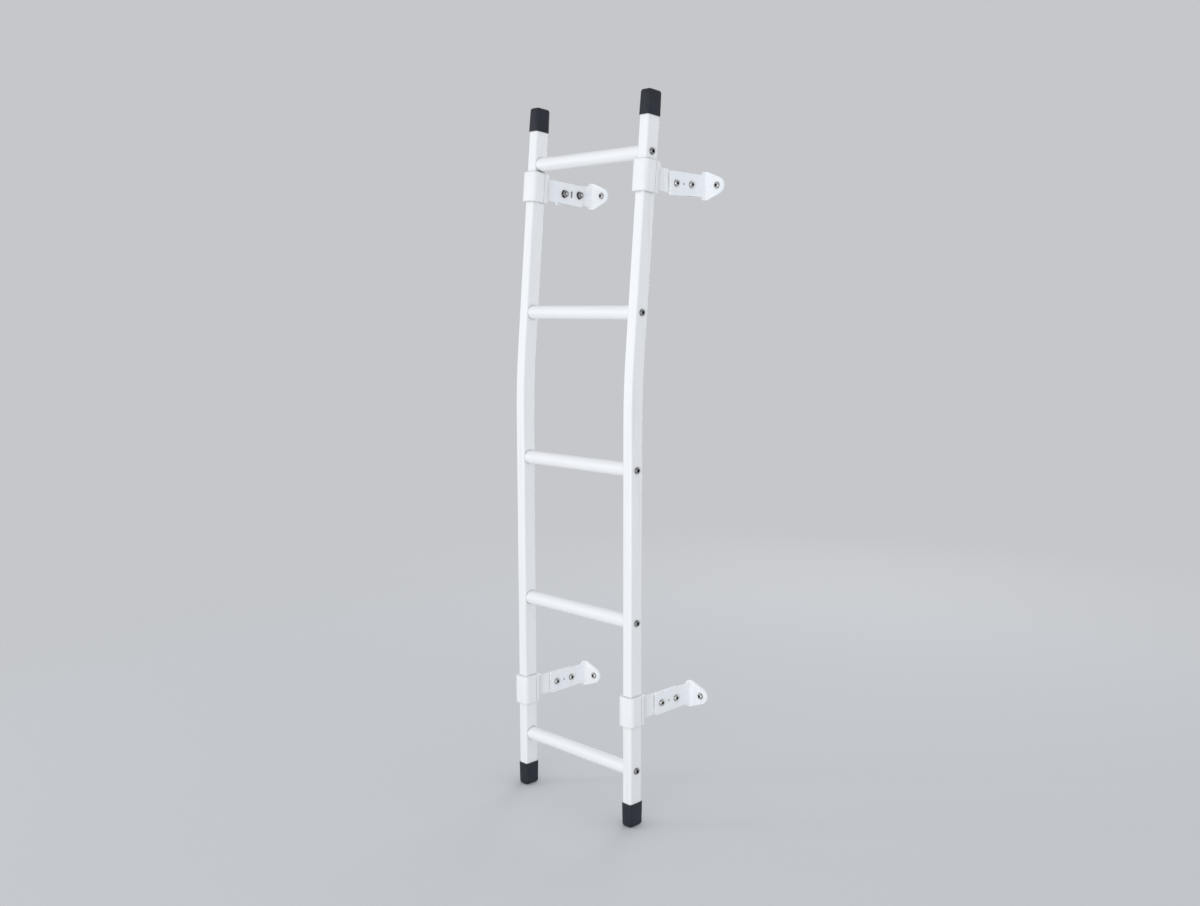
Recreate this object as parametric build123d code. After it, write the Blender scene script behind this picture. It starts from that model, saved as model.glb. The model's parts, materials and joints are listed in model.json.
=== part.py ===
from build123d import *
import os
from math import cos, radians, sin, tan

# A ladder that stands off an upright face on four bolted feet, seen from the climber's side:
# X to the right, Y forward to that face, Z up. Millimetres and degrees.
# The origin lies on the back face of the lower right foot, where it is bolted on.

# Rails: two hollow tubes, upright below, leaning forward above a long bend
rail_spacing = 340.0
rail_width = 25.0
rail_depth = 36.0
rail_corner = 4.0
rail_wall = 2.5
rail_overhang = 122.0
bend_height = 830.0
bend_angle = 5.0
bend_radius = 1750.0

# Rungs: round tubes between the rails, butted against them
rung_count = 5
rung_pitch = 330.0
rung_diameter = 30.0
rung_wall = 2.5

# End caps: soft cups over the four rail ends
cap_grip = 49.0
cap_wall = 2.0
cap_floor = 3.0
cap_edge = 3.0
cap_clearance = 0.1

# Clamp collars: thick sleeves round the rails
collar_height = 66.0
collar_wall = 7.5
collar_clearance = 0.25

# Places of the collars: the lower ones by the height of their middle above the bottom rung,
# the upper ones close under the top rung
lower_left_height = 108.0
lower_right_height = 135.0
collar_rung_gap = 2.0

# Straps: flat bars on the back of the collars, right of the rail's middle, with two upright bolt
# holes, which let the feet turn a little, and a slit midway between them
strap_height = 48.0
strap_thickness = 5.0
strap_offset = 5.0
strap_corner = 8.0
strap_margin = 14.0
strap_hole_width = 10.0
strap_hole_height = 15.0
strap_slit_width = 6.0
strap_slit_height = 16.0

# Feet: plates that are bent to a flange, with two bolt holes and a small hole midway for the strap,
# and one bolt hole in the flange
foot_thickness = 5.0
foot_standoff = 180.0
foot_length = 118.0
foot_front_height = 51.0
foot_waist_height = 46.0
foot_corner = 5.0
foot_bend = 4.0
foot_flare = 15.0
foot_middle_hole = 5.0
bolt_edge = 19.0
bolt_near = 51.0
bolt_size = 8.0
bolt_clearance = 0.5
flange_height = 60.0
flange_reach = 36.5
flange_tip = 18.0

# Sizes that follow from those above
bolt_hole = bolt_size + 2 * bolt_clearance
bolt_pitch = foot_length - bolt_edge - bolt_near
bolt_middle = bolt_near + bolt_pitch / 2
bolt_spots = (bolt_near, bolt_near + bolt_pitch)
collar_back = rail_depth / 2 + collar_clearance + collar_wall
bend_tangent = bend_radius * tan(radians(bend_angle) / 2)
bend_start = bend_height - bend_tangent
bend_length = bend_radius * radians(bend_angle)
bend_end = bend_start + bend_length
top_rung = (rung_count - 1) * rung_pitch
rail_bottom = -rail_overhang
rail_top = top_rung + rail_overhang
upper_height = top_rung - rung_diameter / 2 - collar_rung_gap - collar_height / 2
strap_reach = foot_standoff - bolt_near + strap_margin
rail_x = {"left": -rail_spacing / 2, "right": rail_spacing / 2}
bend_zone = foot_thickness + foot_bend


def rail_lean(height):
    """Lean of the rail, in degrees, at a height that is measured along it from the bottom rung."""
    share = (height - bend_start) / bend_length
    return bend_angle * min(max(share, 0.0), 1.0)


def rail_centre(height):
    """Y and Z of the rail's middle at a height that is measured along it from the bottom rung."""
    turn = radians(rail_lean(height))
    straight = max(height - bend_end, 0.0)
    rise = min(height, bend_start)
    y = bend_radius * (1 - cos(turn)) + straight * sin(turn)
    z = rise + bend_radius * sin(turn) + straight * cos(turn)
    return y, z


def on_rail(side, height):
    """Place in a rail's middle, with local Z along the rail and local Y square to it."""
    y, z = rail_centre(height)
    return Location((rail_x[side], y, z), (-rail_lean(height), 0, 0))


def rail_outline(grow):
    """Section of the rail, grown all round."""
    return RectangleRounded(rail_width + 2 * grow, rail_depth + 2 * grow, rail_corner + grow)


def rail_opening(clearance):
    """Opening for the rail, its corners cut straight just clear of the rail's round ones."""
    opening = Rectangle(rail_width + 2 * clearance, rail_depth + 2 * clearance)
    return chamfer(opening.vertices(), (rail_corner + clearance) * (2 - 2**0.5))


def across(radius, length):
    """Round bar along X."""
    return Rot(0, 90, 0) * Cylinder(radius, length)


def along_rail(section):
    """Bar of that section along the whole rail: upright, bent, then leaning."""
    lower = Pos(0, 0, rail_bottom) * extrude(section, bend_start - rail_bottom)
    pivot = Axis((0, bend_radius, bend_start), (-1, 0, 0))
    bend = revolve(Pos(0, 0, bend_start) * section, pivot, bend_angle)
    y, z = rail_centre(bend_end)
    upper = Location((0, y, z), (-bend_angle, 0, 0)) * extrude(section, rail_top - bend_end)
    return lower + bend + upper


def make_rail(side):
    """Bent tube, open at both ends."""
    hollow = Rectangle(rail_width - 2 * rail_wall, rail_depth - 2 * rail_wall)
    rail = along_rail(rail_outline(0)) - along_rail(hollow)
    return Pos(rail_x[side], 0, 0) * rail


def make_rung(height):
    """Tube that reaches from rail to rail."""
    length = rail_spacing - rail_width
    rung = across(rung_diameter / 2, length) - across(rung_diameter / 2 - rung_wall, length)
    y, z = rail_centre(height)
    return Pos(0, y, z) * rung


def make_cap(side, height, turned):
    """Cup that is pushed over a rail end until the end meets its floor."""
    outer = extrude(rail_outline(cap_clearance + cap_wall), cap_grip + cap_floor)
    outer = chamfer(outer.faces().sort_by(Axis.Z)[-1].edges(), cap_edge)
    cap = outer - extrude(rail_opening(cap_clearance), cap_grip)
    return on_rail(side, height) * Rot(turned, 0, 0) * Pos(0, 0, -cap_grip) * cap


def make_collar(side, height):
    """Thick sleeve round the rail."""
    section = rail_outline(collar_clearance + collar_wall) - rail_opening(collar_clearance)
    return on_rail(side, height) * extrude(section, collar_height / 2, both=True)


def make_strap(side, height):
    """Flat bar square to the rail, with round rear corners, two bolt holes and the slit."""
    length = strap_reach - collar_back
    bar = Pos(collar_back + length / 2, 0) * Rectangle(length, strap_height)
    bar = fillet(bar.vertices().group_by(Axis.X)[-1], strap_corner)
    for spot in bolt_spots:
        bar -= Pos(foot_standoff - spot, 0) * SlotOverall(strap_hole_height, strap_hole_width, 90)
    bar -= Pos(foot_standoff - bolt_middle, 0) * SlotOverall(strap_slit_height, strap_slit_width, 90)
    strap = extrude(Plane.YZ * bar, strap_thickness / 2, both=True)
    return on_rail(side, height) * Pos(strap_offset, 0, 0) * strap


def foot_profile():
    """The foot from above: a plate along Y, bent to a flange along X, its outer corner at 0, 0."""
    width = flange_reach + 2 * flange_tip
    plate = Pos(foot_thickness / 2, -foot_length / 2) * Rectangle(foot_thickness, foot_length)
    flange = Pos(width / 2, -foot_thickness / 2) * Rectangle(width, foot_thickness)
    profile = plate + flange
    inside = profile.vertices().sort_by_distance((foot_thickness, -foot_thickness))[0]
    profile = fillet(inside, foot_bend)
    outside = profile.vertices().sort_by_distance((0, 0))[0]
    return fillet(outside, bend_zone)


def plate_outline():
    """The foot from the side: a slight taper, then a hollow flare up to the flange."""
    front = foot_front_height / 2
    waist = foot_waist_height / 2
    full = flange_height / 2
    flare_run = (foot_flare**2 - (foot_flare - full + waist) ** 2) ** 0.5
    flare_start = -bend_zone - flare_run
    taper = Line((-foot_length, front), (flare_start, waist))
    flare = RadiusArc((flare_start, waist), (-bend_zone, full), -foot_flare)
    rear = Polyline((-bend_zone, full), (0, full), (0, 0), (-foot_length, 0), (-foot_length, front))
    half = make_face([taper, flare, *rear.edges()])
    outline = half + mirror(half, Plane.XZ)
    return fillet(outline.vertices().group_by(Axis.X)[0], foot_corner)


def flange_outline():
    """The foot from behind: full height at the bend, narrowing to a round tip about the bolt."""
    root = Pos(bend_zone / 2, 0) * Rectangle(bend_zone, flange_height)
    tip = Pos(flange_reach, 0) * Circle(flange_tip)
    return make_hull(root.edges() + tip.edges())


def make_foot():
    """Bent plate with holes for the strap bolts and the flange bolt, and the small middle hole."""
    foot = extrude(foot_profile(), flange_height, both=True)
    foot &= extrude(Plane.YZ * plate_outline(), 2 * (flange_reach + flange_tip), both=True)
    foot &= extrude(Plane.XZ * flange_outline(), 2 * foot_length, both=True)
    for spot in bolt_spots:
        foot -= Pos(0, -spot, 0) * across(bolt_hole / 2, 4 * foot_thickness)
    foot -= Pos(0, -bolt_middle, 0) * across(foot_middle_hole / 2, 4 * foot_thickness)
    hole = Rot(90, 0, 0) * Cylinder(bolt_hole / 2, 4 * foot_thickness)
    return foot - Pos(flange_reach, 0, 0) * hole


def foot_place(side, height, strap_side):
    """Place of a foot: upright behind its strap, on the strap's right (1) or left (-1) face."""
    y, z = rail_centre(height)
    drop = (foot_standoff - bolt_middle) * tan(radians(rail_lean(height)))
    x = rail_x[side] + strap_offset + strap_side * (strap_thickness + foot_thickness) / 2
    return Vector(x - foot_thickness / 2, y + foot_standoff, z - drop)


# Each clamp bracket: its rail, the height of its collar and the face of the strap that takes the foot
brackets = {
    "lower_left": ("left", lower_left_height, 1),
    "lower_right": ("right", lower_right_height, 1),
    "upper_left": ("left", upper_height, -1),
    "upper_right": ("right", upper_height, 1),
}
face_middle = (bend_zone + flange_reach - bolt_hole / 2) / 2
origin = foot_place(*brackets["lower_right"]) + Vector(face_middle, 0, 0)

nodes = {}
for side in rail_x:
    nodes[f"{side}_rail"] = make_rail(side)
    nodes[f"{side}_bottom_cap"] = make_cap(side, rail_bottom, 180)
    nodes[f"{side}_top_cap"] = make_cap(side, rail_top, 0)
for rung in range(rung_count):
    nodes[f"rung_{rung + 1}"] = make_rung(rung * rung_pitch)
for name, (side, height, strap_side) in brackets.items():
    nodes[f"{name}_collar"] = make_collar(side, height)
    nodes[f"{name}_strap"] = make_strap(side, height)
    nodes[f"{name}_foot"] = Pos(foot_place(side, height, strap_side)) * make_foot()

os.makedirs("parts", exist_ok=True)
for name, solid in nodes.items():
    export_step(Pos(-origin) * solid, f"parts/{name}.step")
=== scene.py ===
import json
from math import ceil, cos, pi, radians, sin

import bmesh
import bpy
from mathutils import Matrix, Vector


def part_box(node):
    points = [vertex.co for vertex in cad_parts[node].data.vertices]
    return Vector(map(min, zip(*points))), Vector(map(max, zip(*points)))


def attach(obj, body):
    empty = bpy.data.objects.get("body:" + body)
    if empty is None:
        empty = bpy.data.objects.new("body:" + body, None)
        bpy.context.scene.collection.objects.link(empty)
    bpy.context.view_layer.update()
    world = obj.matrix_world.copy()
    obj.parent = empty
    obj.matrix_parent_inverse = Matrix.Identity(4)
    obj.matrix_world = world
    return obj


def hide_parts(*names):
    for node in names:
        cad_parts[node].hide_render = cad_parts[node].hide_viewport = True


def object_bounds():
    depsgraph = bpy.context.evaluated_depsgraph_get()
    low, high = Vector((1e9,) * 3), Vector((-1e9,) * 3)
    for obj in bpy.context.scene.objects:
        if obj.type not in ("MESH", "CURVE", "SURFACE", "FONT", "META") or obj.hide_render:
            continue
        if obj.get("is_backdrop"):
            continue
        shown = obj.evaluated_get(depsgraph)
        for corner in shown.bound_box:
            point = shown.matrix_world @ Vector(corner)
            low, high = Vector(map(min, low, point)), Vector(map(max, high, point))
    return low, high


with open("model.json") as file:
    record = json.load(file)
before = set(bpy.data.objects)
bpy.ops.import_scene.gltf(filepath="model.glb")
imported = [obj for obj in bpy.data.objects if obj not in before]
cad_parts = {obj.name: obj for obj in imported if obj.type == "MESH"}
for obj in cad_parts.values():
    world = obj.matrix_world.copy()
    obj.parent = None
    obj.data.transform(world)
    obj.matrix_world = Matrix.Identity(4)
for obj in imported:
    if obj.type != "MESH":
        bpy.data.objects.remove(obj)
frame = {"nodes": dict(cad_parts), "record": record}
cad_low, cad_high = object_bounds()

# A white ladder on four brackets, in metres and degrees, in the frame of its solids:
# X to the right, Y forward to the face that the brackets are bolted to, Z up.

# Camera: where it stands, where it looks, and its lens and sensor in millimetres
CAMERA_PLACE = Vector((1.704075, -2.002273, 0.865713))
CAMERA_YAW = 45.117
CAMERA_PITCH = 7.713
CAMERA_ROLL = -0.106
CAMERA_LENS = 36.0638
CAMERA_SENSOR = 36.0
CAMERA_SHIFT = (0.0, 0.014167)

# Directions, with those up the rails below and above their bend
RIGHT = Vector((1, 0, 0))
BACK = Vector((0, -1, 0))
DOWN = Vector((0, 0, -1))
UPPER_LEAN = radians(5.0)
UP_LOWER_RAIL = Vector((0, 0, 1))
UP_UPPER_RAIL = Vector((0, sin(UPPER_LEAN), cos(UPPER_LEAN)))

# Rails, rungs and bracket plates, as far as the fasteners need them: the plate bolts are measured from
# the back of a foot's flange, and the flange bolt from the foot's left side
RUNG_COUNT = 5
RAIL_WIDTH = 0.025
PLATE = 0.005
PLATE_BOLTS = (0.051, 0.099)
FLANGE_BOLT = 0.0365

# Button heads: sizes, the edge that is eased, and shares of the head's height (rim), of the socket's
# width (drilled tip and taper) and of the radius to the socket's corners (mouth and flat)
HEAD_M8 = {"head": 0.0144, "height": 0.0044, "socket": 0.0064, "depth": 0.0031}
HEAD_EDGE = 0.0002
HEAD_RIM = 0.16
DRILL_DEPTH = 0.2
DRILL_TIP = 0.05
SOCKET_TAPER = 0.96
SOCKET_MOUTH = 1.06
HEAD_FLAT = 1.14

# Shanks: their radius, their thread, and the length of each bolt with the plain stretch under its head
SHANK = 0.004
THREAD_PITCH = 0.00125
THREAD_DEPTH = 0.00062
TIP_CHAMFER = 0.0008
PLATE_BOLT_LENGTH = 0.021
PLATE_BOLT_PLAIN = 0.010
FLANGE_BOLT_LENGTH = 0.015
FLANGE_BOLT_PLAIN = 0.005

# Washers
WASHER_BORE = 0.0042
WASHER_RADIUS = 0.0087
WASHER_THICKNESS = 0.0016
WASHER_EDGE = 0.00025

# Nuts: the heights at which their turned-off corners are drawn, the round end face as a share of the
# width across flats, and the slope of the cone that takes the corners off
NUT_FLATS = 0.013
NUT_HEIGHT = 0.0065
NUT_LEVELS = (0.0, 0.0002, 0.0004, 0.0006, 0.0009)
NUT_FACE = 0.48
NUT_SLOPE = 0.577
NUT_BORE_EDGE = 0.0005

# Turns of the fasteners about their axes, which differ from piece to piece
RUNG_TURN = 23
BRACKET_TURN = 37
BOLT_TURN = 16
FLANGE_TURN = 29
FLANGE_FIRST_TURN = 11

# Collars: sleeves with round rims, and a groove along each side where their front and back halves meet
COLLAR_CORNER = 0.01175
COLLAR_WALL = 0.0075
COLLAR_RIM = 0.003
GROOVE_PLACE = 0.008
GROOVE_WIDTH = 0.0012
GROOVE_DEPTH = 0.0015

# End caps: cups that are rounder than the rails, and how far they reach past the outer rungs' middles
CAP_CORNER = 0.0061
CAP_END_CORNER = 0.008
CAP_ROUNDING = 0.006
CAP_WALL = 0.002
CAP_FLOOR = 0.0029
CAP_LIP = 0.0005
CAP_REACH = 0.125

# Fineness: steps in a round corner, over a round edge, round a turned piece, over a dome and in each
# turn of a thread, the least radius of a corner, and the angle from which an edge is drawn sharp
CORNER_STEPS = 8
EDGE_STEPS = 6
ROUND_STEPS = 48
DOME_STEPS = 8
THREAD_STEPS = 8
LEAST_CORNER = 0.0002
SHARP_ANGLE = 38

# Powder coat: colours of tubes and plates, their haze as a share of that colour, dirt and painted shade,
# the stretch of its streaks along upright and level pieces, and the radius of its edges
WHITE = (0.86, 0.86, 0.86)
# Painted light: the plates' white is a lighter, bluer copy of the tubes' white, for the brighter light
# they catch
PLATE_WHITE_LIT = (0.90, 0.912, 0.928)
HAZE = 0.95
# Grey of the real streaks and specks, and also of the painted shade in corners
GRIME_AND_SHADE = (0.36, 0.355, 0.35)
UPRIGHT_STREAKS = (70.0, 70.0, 3.5)
LEVEL_STREAKS = (3.5, 90.0, 90.0)
COAT_EDGE = 0.0009

# Plastic of the caps: its own colour, dust, and rub marks that are stretched along the rails
CAP_BLACK = (0.007, 0.009, 0.019)
CAP_DUST = (0.019, 0.023, 0.036)
CAP_RUBBED = (0.06, 0.06, 0.065)
RUB_STRETCH = (420.0, 420.0, 26.0)
CAP_EDGE = 0.0012

# Steel: colour, tarnish and the range of its roughness, and the painted shade of its hollows
BRIGHT_STEEL = {"colour": (0.66, 0.65, 0.63), "tarnish": (0.50, 0.49, 0.47), "roughness": (0.18, 0.38)}
DULL_STEEL = {"colour": (0.37, 0.37, 0.38), "tarnish": (0.21, 0.205, 0.20), "roughness": (0.30, 0.50)}
SOCKET_SHADE = (0.006, 0.006, 0.007)

# Stage: a floor that fades out between two distances, what is seen behind it, and the light of the sky
FLOOR_GAP = 0.0005
FLOOR_HALF_WIDTH = 7.0
FLOOR_FADE = (0.9, 3.6)
FLOOR_GREY = (0.64, 0.64, 0.64)
BACKGROUND = (0.56, 0.57, 0.59)
AMBIENT = (0.73, 0.765, 0.815)

# Lamps: a wide one in front on the right, a narrow one on the left and one behind, in watts
LAMPS = {
    "key": {"place": Vector((2.1, -4.5, 0.35)), "width": 2.6, "height": 1.1, "power": 81.5},
    "strip": {"place": Vector((-2.7, -2.8, 1.2)), "width": 0.5, "height": 2.2, "power": 12.0},
    "rear": {"place": Vector((-2.2, 4.6, 1.0)), "width": 2.6, "height": 2.6, "power": 72.0},
}


def feed(tree, node, inputs):
    """Gives the node's inputs their constants, or links them to other nodes or their sockets."""
    for name, value in inputs.items():
        socket = node.inputs[name]
        if isinstance(value, bpy.types.Node):
            tree.links.new(value.outputs[0], socket)
        elif isinstance(value, bpy.types.NodeSocket):
            tree.links.new(value, socket)
        elif socket.type == "RGBA":
            socket.default_value = (*value, 1)
        else:
            socket.default_value = value


def add_node(tree, kind, inputs, **settings):
    """New shader node with its settings and inputs."""
    node = tree.nodes.new("ShaderNode" + kind)
    for name, value in settings.items():
        setattr(node, name, value)
    feed(tree, node, inputs)
    return node


def new_material(name):
    """Material with its node tree, its shader and the place on the piece."""
    material = bpy.data.materials.new(name)
    material.use_nodes = True
    tree = material.node_tree
    place = add_node(tree, "TexCoord", {}).outputs["Object"]
    return material, tree, tree.nodes["Principled BSDF"], place


def noise(tree, place, scale, detail, low=0.0, high=1.0, bottom=0.0, top=1.0):
    """Noise that rises from bottom, at its value low, to top, at its value high."""
    cloud = add_node(tree, "TexNoise", {"Vector": place, "Scale": scale, "Detail": detail})
    return add_node(tree, "MapRange", {
        "Value": cloud, "From Min": low, "From Max": high, "To Min": bottom, "To Max": top})


def mix(tree, share, one, other):
    """Colour that goes from one to the other as the share goes from 0 to 1."""
    return add_node(tree, "MixRGB", {"Fac": share, "Color1": one, "Color2": other})


def hollows(tree, reach, shallow, deep, most):
    """Share of painted shade that is 0 in the open and rises in corners and hollows, from shallow ones to
    deep ones.
    """
    nearby = add_node(tree, "AmbientOcclusion", {"Distance": reach}, samples=8)
    return add_node(tree, "MapRange", {
        "Value": nearby.outputs["AO"], "From Min": shallow, "From Max": deep, "To Max": most})


def grained(tree, place, scale, strength, depth, edge):
    """Surface with a fine grain, and with edges that look rounded."""
    grain = add_node(tree, "TexNoise", {"Vector": place, "Scale": scale, "Detail": 2.0})
    edges = add_node(tree, "Bevel", {"Radius": edge}, samples=6)
    return add_node(tree, "Bump", {
        "Strength": strength, "Distance": depth, "Height": grain, "Normal": edges})


def powder_coat(name, colour, stretch):
    """White powder coat: orange peel, soft edges, faint haze, streaks, specks and painted shade in
    corners.
    """
    material, tree, shader, place = new_material(name)
    haze = noise(tree, place, scale=6.0, detail=4.0, low=0.42, high=0.75, top=0.30)
    coat = mix(tree, haze, colour, [HAZE * channel for channel in colour])
    streak_place = add_node(tree, "Mapping", {"Vector": place, "Scale": stretch})
    streaks = noise(tree, streak_place, scale=1.0, detail=5.0, low=0.55, high=0.80, top=0.14)
    coat = mix(tree, streaks, coat, GRIME_AND_SHADE)
    specks = noise(tree, place, scale=330.0, detail=1.0, low=0.74, high=0.80, top=0.35)
    coat = mix(tree, specks, coat, GRIME_AND_SHADE)
    # Painted shade: grime colour darkens corners and joints where they would be in shade, broken up in
    # patches
    corners = hollows(tree, reach=0.008, shallow=0.85, deep=0.40, most=0.75)
    patches = noise(tree, place, scale=60.0, detail=3.0, low=0.10, high=0.60)
    corner_shade = add_node(tree, "Math", {0: corners, 1: patches}, operation="MULTIPLY")
    coat = mix(tree, corner_shade, coat, GRIME_AND_SHADE)
    roughness = noise(tree, place, scale=45.0, detail=4.0, bottom=0.30, top=0.50)
    peel = grained(tree, place, scale=620.0, strength=0.10, depth=0.0004, edge=COAT_EDGE)
    feed(tree, shader, {"Base Color": coat, "Roughness": roughness, "Normal": peel})
    return material


def cap_plastic(name):
    """Black soft plastic: fine grain, dusty patches and pale rub marks along the rail."""
    material, tree, shader, place = new_material(name)
    dust = noise(tree, place, scale=38.0, detail=5.0, low=0.45, high=0.80, top=0.5)
    tint = mix(tree, dust, CAP_BLACK, CAP_DUST)
    rub_place = add_node(tree, "Mapping", {"Vector": place, "Scale": RUB_STRETCH})
    rubs = noise(tree, rub_place, scale=1.0, detail=3.0, low=0.66, high=0.78, top=0.35)
    tint = mix(tree, rubs, tint, CAP_RUBBED)
    roughness = noise(tree, place, scale=70.0, detail=4.0, bottom=0.38, top=0.60)
    grain = grained(tree, place, scale=1500.0, strength=0.22, depth=0.0003, edge=CAP_EDGE)
    feed(tree, shader, {"Base Color": tint, "Roughness": roughness, "Normal": grain})
    return material


def steel(name, colour, tarnish, roughness):
    """Turned steel: ring marks, uneven gloss, tarnish and painted shade in hollows."""
    material, tree, shader, place = new_material(name)
    stains = noise(tree, place, scale=260.0, detail=4.0, low=0.40, high=0.75, top=0.6)
    tint = mix(tree, stains, colour, tarnish)
    # Painted shade: hollows such as the hex sockets are darkened nearly to black
    socket_shade = hollows(tree, reach=0.005, shallow=0.90, deep=0.62, most=0.98)
    tint = mix(tree, socket_shade, tint, SOCKET_SHADE)
    smoothest, roughest = roughness
    gloss = noise(tree, place, scale=500.0, detail=3.0, bottom=smoothest, top=roughest)
    rings = add_node(tree, "TexWave", {"Vector": place, "Scale": 700.0, "Distortion": 0.6, "Detail": 2.0},
                     wave_type="RINGS", rings_direction="Z")
    marks = add_node(tree, "Bump", {"Strength": 0.08, "Distance": 0.0002, "Height": rings})
    feed(tree, shader, {"Base Color": tint, "Metallic": 1.0, "Roughness": gloss, "Normal": marks})
    return material


def floor_paint(name):
    """Matt pale paint that fades out far from the ladder."""
    material, tree, shader, place = new_material(name)
    away = add_node(tree, "VectorMath", {0: place}, operation="LENGTH")
    near, far = FLOOR_FADE
    fade = add_node(tree, "MapRange", {
        "Value": away.outputs["Value"], "From Min": near, "From Max": far, "To Min": 1.0, "To Max": 0.0,
    }, interpolation_type="SMOOTHSTEP")
    feed(tree, shader, {
        "Base Color": FLOOR_GREY, "Roughness": 0.9, "Specular IOR Level": 0.1, "Alpha": fade})
    return material


def hexagon(flats):
    """Radius of a hexagon of that width across its flats, for each angle."""
    return lambda angle: flats / 2 / cos(angle % (pi / 3) - pi / 6)


def skin(name, outlines, material, open_bore=False):
    """Mesh through outlines of equally many points, closed by end faces or back to its first outline."""
    form = bmesh.new()
    loops = [[form.verts.new(point) for point in outline] for outline in outlines]
    pairs = list(zip(loops, loops[1:]))
    if open_bore:
        pairs.append((loops[-1], loops[0]))
    else:
        form.faces.new(loops[0])
        form.faces.new(loops[-1])
    for one, other in pairs:
        for step in range(len(one)):
            after = (step + 1) % len(one)
            form.faces.new((one[step], one[after], other[after], other[step]))
    bmesh.ops.recalc_face_normals(form, faces=form.faces)
    mesh = bpy.data.meshes.new(name)
    form.to_mesh(mesh)
    form.free()
    mesh.shade_smooth()
    mesh.set_sharp_from_angle(angle=radians(SHARP_ANGLE))
    mesh.materials.append(material)
    return mesh


def turned(name, rings, material, open_bore=False):
    """Mesh of rings round local Z: each is a height and a radius, a number or a function of the angle."""
    outlines = []
    for height, radius in rings:
        outline = []
        for step in range(ROUND_STEPS):
            angle = 2 * pi * step / ROUND_STEPS
            reach = radius(angle) if callable(radius) else radius
            outline.append((reach * cos(angle), reach * sin(angle), height))
        outlines.append(outline)
    return skin(name, outlines, material, open_bore)


def rounded(size, corner, inset, height):
    """Rectangle of that size with round corners, set in all round, at that height."""
    corner = max(corner - inset, LEAST_CORNER)
    points = []
    for quarter, (x_side, y_side) in enumerate(((1, 1), (-1, 1), (-1, -1), (1, -1))):
        x = x_side * (size.x / 2 - inset - corner)
        y = y_side * (size.y / 2 - inset - corner)
        for step in range(CORNER_STEPS + 1):
            angle = pi / 2 * (quarter + step / CORNER_STEPS)
            points.append((x + corner * cos(angle), y + corner * sin(angle), height))
    return points


def grooved(size, corner, inset, height, depth):
    """The same with a groove of that depth in its left and right side."""
    points = rounded(size, corner, inset, height)
    grooves = []
    for side in (-1, 1):
        x = side * (size.x / 2 - inset)
        half_width = side * GROOVE_WIDTH / 2
        grooves.append([
            (x, GROOVE_PLACE - half_width, height),
            (x - side * depth, GROOVE_PLACE, height),
            (x, GROOVE_PLACE + half_width, height),
        ])
    half = len(points) // 2
    return points[:half] + grooves[0] + points[half:] + grooves[1]


def round_edge(radius):
    """Steps over a round edge: how far each is set in from the side, and how far down from the end."""
    turns = [pi / 2 * step / EDGE_STEPS for step in range(EDGE_STEPS + 1)]
    return [(radius * (1 - sin(turn)), radius * (1 - cos(turn))) for turn in turns]


def soft_cap(name, size, material):
    """Cup with a round end at height 0, its open end down local Z."""
    outlines = [rounded(size, CAP_END_CORNER, inset, -drop) for inset, drop in round_edge(CAP_ROUNDING)]
    outlines += [
        rounded(size, CAP_CORNER, 0.0, CAP_LIP - size.z),
        rounded(size, CAP_CORNER, CAP_LIP, -size.z),
        rounded(size, CAP_CORNER, CAP_WALL, -size.z),
        rounded(size, CAP_CORNER, CAP_WALL, -CAP_FLOOR),
    ]
    return skin(name, outlines, material)


def sleeve(name, size, material):
    """Collar about local Z, its middle at height 0, with round outer rims and a groove down each side."""
    end = size.z / 2
    upper = [grooved(size, COLLAR_CORNER, COLLAR_WALL, end, 0.0)]
    for inset, drop in round_edge(COLLAR_RIM):
        upper.append(grooved(size, COLLAR_CORNER, inset, end - drop, GROOVE_DEPTH))
    lower = [[(x, y, -z) for x, y, z in outline] for outline in reversed(upper)]
    return skin(name, upper + lower, material, open_bore=True)


def button_head(head, height, socket, depth):
    """Rings of a domed head, from the bottom of its socket round to its seat at height 0."""
    corner = socket / 3**0.5
    rim = HEAD_RIM * height
    flat = HEAD_FLAT * corner
    rings = [
        (height - depth - DRILL_DEPTH * socket, DRILL_TIP * socket),
        (height - depth, hexagon(SOCKET_TAPER * socket)),
        (height - 2 * HEAD_EDGE, hexagon(socket)),
        (height - HEAD_EDGE / 2, SOCKET_MOUTH * corner),
        (height, flat),
    ]
    for step in range(1, DOME_STEPS + 1):
        turn = radians(90 * step / DOME_STEPS)
        rings.append((rim + (height - rim) * cos(turn), flat + (head / 2 - flat) * sin(turn)))
    return rings + [(HEAD_EDGE, head / 2), (0.0, head / 2 - HEAD_EDGE)]


def thread(start, end):
    """Rings of a screw thread down local Z from start to end, with a chamfered tip."""
    rings = []
    steps = ceil((start - end) / THREAD_PITCH * THREAD_STEPS)
    for step in range(steps + 1):
        height = start + (end - start) * step / steps
        limit = SHANK - max(0.0, TIP_CHAMFER - (height - end))

        def radius(angle, height=height, limit=limit):
            share = (height / THREAD_PITCH + angle / (2 * pi)) % 1
            return min(limit, SHANK - THREAD_DEPTH * abs(2 * share - 1))

        rings.append((height, radius))
    return rings


def bolt(name, length, plain, material):
    """Button-head bolt with its seat at height 0 and its shank down local Z, plain under the head."""
    run_out = THREAD_PITCH / THREAD_STEPS
    shank = [(0.0, SHANK), (run_out - plain, SHANK)] + thread(-plain, -length)
    return turned(name, button_head(**HEAD_M8) + shank, material)


def washer(name, material):
    """Flat washer that lies on height 0, with one edge eased."""
    rings = [
        (0.0, WASHER_BORE),
        (0.0, WASHER_RADIUS),
        (WASHER_THICKNESS - WASHER_EDGE, WASHER_RADIUS),
        (WASHER_THICKNESS, WASHER_RADIUS - WASHER_EDGE),
        (WASHER_THICKNESS, WASHER_BORE),
    ]
    return turned(name, rings, material, open_bore=True)


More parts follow.
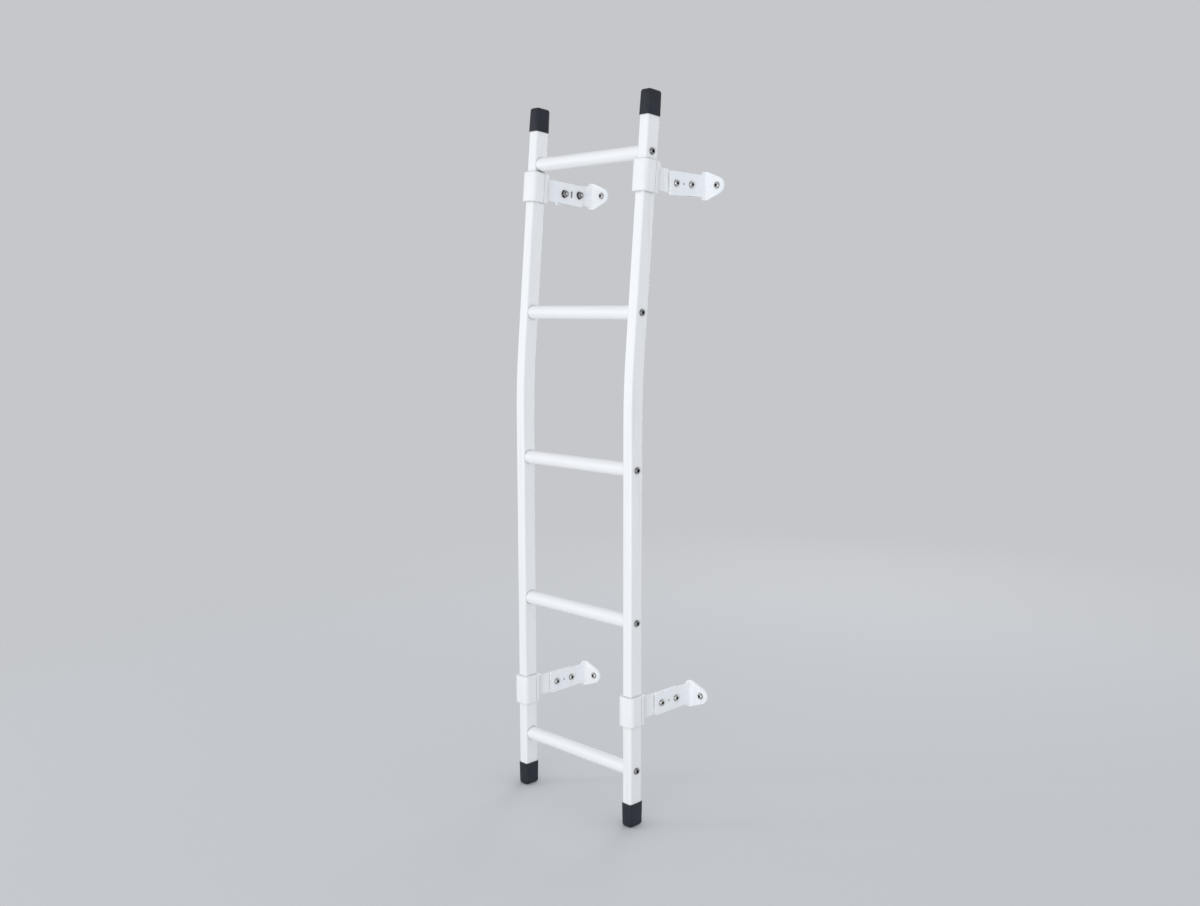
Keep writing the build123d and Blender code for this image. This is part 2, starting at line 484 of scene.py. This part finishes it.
def nut(name, material):
    """Hexagon nut that stands on height 0, its corners turned off at both ends."""
    six = hexagon(NUT_FLATS)
    rings = [(0.0, SHANK)]
    for height in NUT_LEVELS + tuple(NUT_HEIGHT - level for level in reversed(NUT_LEVELS)):
        from_end = min(height, NUT_HEIGHT - height)
        cone = NUT_FACE * NUT_FLATS + from_end / NUT_SLOPE
        rings.append((height, lambda angle, cone=cone: min(six(angle), cone)))
    rings += [(NUT_HEIGHT, SHANK + NUT_BORE_EDGE), (NUT_HEIGHT - NUT_BORE_EDGE, SHANK)]
    return turned(name, rings, material, open_bore=True)


def add_object(name, data):
    """New object in the scene."""
    made = bpy.data.objects.new(name, data)
    bpy.context.scene.collection.objects.link(made)
    return made


def fix(name, mesh, place, axis, turn):
    """Puts a fastener at its place, local Z along the axis, turned about it, riding on the ladder."""
    piece = add_object(name, mesh)
    aim = axis.to_track_quat("Z", "Y").to_matrix().to_4x4()
    piece.matrix_world = Matrix.Translation(place) @ aim @ Matrix.Rotation(radians(turn), 4, "Z")
    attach(piece, "root")


def stand_in(name, mesh, place, outward, node):
    """Puts a mesh at its place, local Z outward, instead of a plain solid, riding on the ladder."""
    turn = Matrix((RIGHT, outward.cross(RIGHT), outward)).transposed().to_4x4()
    mesh.transform(Matrix.Translation(place) @ turn)
    piece = add_object(name, mesh)
    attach(piece, "root")
    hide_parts(node)


def soft_lamp(name, place, width, height, power):
    """Rectangular lamp that faces the ladder's middle."""
    lamp = bpy.data.lights.new(name, "AREA")
    lamp.shape = "RECTANGLE"
    lamp.size = width
    lamp.size_y = height
    lamp.energy = power
    holder = add_object(name, lamp)
    holder.location = place
    holder.rotation_euler = ((cad_low + cad_high) / 2 - place).to_track_quat("-Z", "Y").to_euler()


# Finishes of the ladder's own pieces
tube_coat = powder_coat("tube_coat", WHITE, UPRIGHT_STREAKS)
rung_coat = powder_coat("rung_coat", WHITE, LEVEL_STREAKS)
# Straps and feet get the white with painted light
lit_plate_coat = powder_coat("lit_plate_coat", PLATE_WHITE_LIT, UPRIGHT_STREAKS)
finishes = {
    "ladder_tube": tube_coat,
    "collar": tube_coat,
    "strap": lit_plate_coat,
    "foot": lit_plate_coat,
    "end_cap": cap_plastic("cap_plastic"),
}
for part in frame["record"]["subparts"]:
    finish = rung_coat if part["node"].startswith("rung_") else finishes[part["material_slot"]]
    for holder in frame["nodes"][part["node"]].material_slots:
        holder.material = finish

# Soft caps in place of the plain solids
low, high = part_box("left_bottom_cap")
cap_size = high - low
for end, rung, outward in (("bottom", "rung_1", DOWN), ("top", f"rung_{RUNG_COUNT}", UP_UPPER_RAIL)):
    low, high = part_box(rung)
    tip = (low + high) / 2 + CAP_REACH * outward
    for side in ("left", "right"):
        low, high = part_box(f"{side}_{end}_cap")
        tip.x = (low.x + high.x) / 2
        cup = soft_cap(f"{side}_{end}_cup", cap_size, finishes["end_cap"])
        stand_in(f"{side}_{end}_cup", cup, tip, outward, f"{side}_{end}_cap")

# Collars with round rims in place of the plain solids
low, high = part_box("lower_left_collar")
collar_size = high - low
for level, up_rail in (("lower", UP_LOWER_RAIL), ("upper", UP_UPPER_RAIL)):
    for side in ("left", "right"):
        node = f"{level}_{side}_collar"
        low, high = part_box(node)
        collar = sleeve(f"{level}_{side}_sleeve", collar_size, finishes["collar"])
        stand_in(f"{level}_{side}_sleeve", collar, (low + high) / 2, up_rail, node)

# Fasteners
bright = steel("bright_steel", **BRIGHT_STEEL)
dull = steel("dull_steel", **DULL_STEEL)
plate_bolt = bolt("plate_bolt", PLATE_BOLT_LENGTH, PLATE_BOLT_PLAIN, bright)
flange_bolt = bolt("flange_bolt", FLANGE_BOLT_LENGTH, FLANGE_BOLT_PLAIN, bright)
bright_pair = (washer("bright_washer", bright), nut("bright_nut", bright))
dull_pair = (washer("dull_washer", dull), nut("dull_nut", dull))
rung_screw = turned("rung_screw", button_head(**HEAD_M8), dull)

# Screws: one through the outside of each rail into each end of a rung
for number in range(1, RUNG_COUNT + 1):
    low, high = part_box(f"rung_{number}")
    middle = (low + high) / 2
    for side, end, axis in (("left", low.x - RAIL_WIDTH, -RIGHT), ("right", high.x + RAIL_WIDTH, RIGHT)):
        seat = Vector((end, middle.y, middle.z))
        fix(f"rung_{number}_{side}_screw", rung_screw, seat, axis, RUNG_TURN * number)

# Brackets, by the side to which their bolt heads face. In the upper left one the foot lies on the left
# of its strap, so there the heads face left, and the nuts are dull ones.
brackets = {"lower_left": RIGHT, "lower_right": RIGHT, "upper_left": -RIGHT, "upper_right": RIGHT}
for order, (name, facing) in enumerate(brackets.items()):
    low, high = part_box(f"{name}_foot")
    level = (low.z + high.z) / 2
    if facing.x > 0:
        head_x = low.x + PLATE
        nut_x = low.x - PLATE
        nut_washer, bolt_nut = bright_pair
    else:
        head_x = low.x
        nut_x = low.x + 2 * PLATE
        nut_washer, bolt_nut = dull_pair
    for number, reach in enumerate(PLATE_BOLTS, 1):
        head_seat = Vector((head_x, high.y - reach, level))
        washer_seat = Vector((nut_x, high.y - reach, level))
        nut_seat = washer_seat - facing * WASHER_THICKNESS
        turn = BRACKET_TURN * order + BOLT_TURN * number
        fix(f"{name}_bolt_{number}", plate_bolt, head_seat, facing, turn)
        fix(f"{name}_washer_{number}", nut_washer, washer_seat, -facing, turn)
        fix(f"{name}_nut_{number}", bolt_nut, nut_seat, -facing, 2 * turn)
    seat = Vector((low.x + FLANGE_BOLT, high.y - PLATE, level))
    fix(f"{name}_flange_bolt", flange_bolt, seat, BACK, FLANGE_FIRST_TURN + FLANGE_TURN * order)

# Floor: pale, just under the ladder
floor_mesh = bpy.data.meshes.new("floor")
floor_level = cad_low.z - FLOOR_GAP
corners = [Vector((x, y)) * FLOOR_HALF_WIDTH for x, y in ((-1, -1), (1, -1), (1, 1), (-1, 1))]
floor_mesh.from_pydata([(corner.x, corner.y, floor_level) for corner in corners], [], [(0, 1, 2, 3)])
floor_mesh.materials.append(floor_paint("floor_paint"))
floor = add_object("floor", floor_mesh)
floor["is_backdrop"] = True

# World: an even sky that lights the ladder, and a plain background where it is seen or mirrored
world = bpy.data.worlds.new("studio")
bpy.context.scene.world = world
world.use_nodes = True
tree = world.node_tree
tree.nodes.clear()
path = add_node(tree, "LightPath", {})
seen = path.outputs["Is Camera Ray"]
for ray in ("Is Glossy Ray", "Is Transmission Ray"):
    seen = add_node(tree, "Math", {0: seen, 1: path.outputs[ray]}, operation="MAXIMUM")
sky = add_node(tree, "Background", {"Color": AMBIENT, "Strength": 1.0})
backdrop = add_node(tree, "Background", {"Color": BACKGROUND, "Strength": 1.0})
mixed = add_node(tree, "MixShader", {0: seen, 1: sky, 2: backdrop})
add_node(tree, "OutputWorld", {"Surface": mixed})

for name, values in LAMPS.items():
    soft_lamp(name, **values)

# Camera
yaw, pitch, roll = (radians(angle) for angle in (CAMERA_YAW, CAMERA_PITCH, CAMERA_ROLL))
ahead = Vector((-sin(yaw) * cos(pitch), cos(yaw) * cos(pitch), -sin(pitch)))
level_right = Vector((cos(yaw), sin(yaw), 0))
level_up = level_right.cross(ahead)
right = cos(roll) * level_right + sin(roll) * level_up
up = cos(roll) * level_up - sin(roll) * level_right
lens = bpy.data.cameras.new("camera")
lens.lens = CAMERA_LENS
lens.sensor_width = CAMERA_SENSOR
lens.sensor_fit = "HORIZONTAL"
lens.shift_x, lens.shift_y = CAMERA_SHIFT
camera = add_object("camera", lens)
turn = Matrix((right, up, -ahead)).transposed().to_4x4()
camera.matrix_world = Matrix.Translation(CAMERA_PLACE) @ turn
bpy.context.scene.camera = camera
bpy.context.scene.view_settings.view_transform = "Standard"

bpy.context.view_layer.update()
low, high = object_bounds()
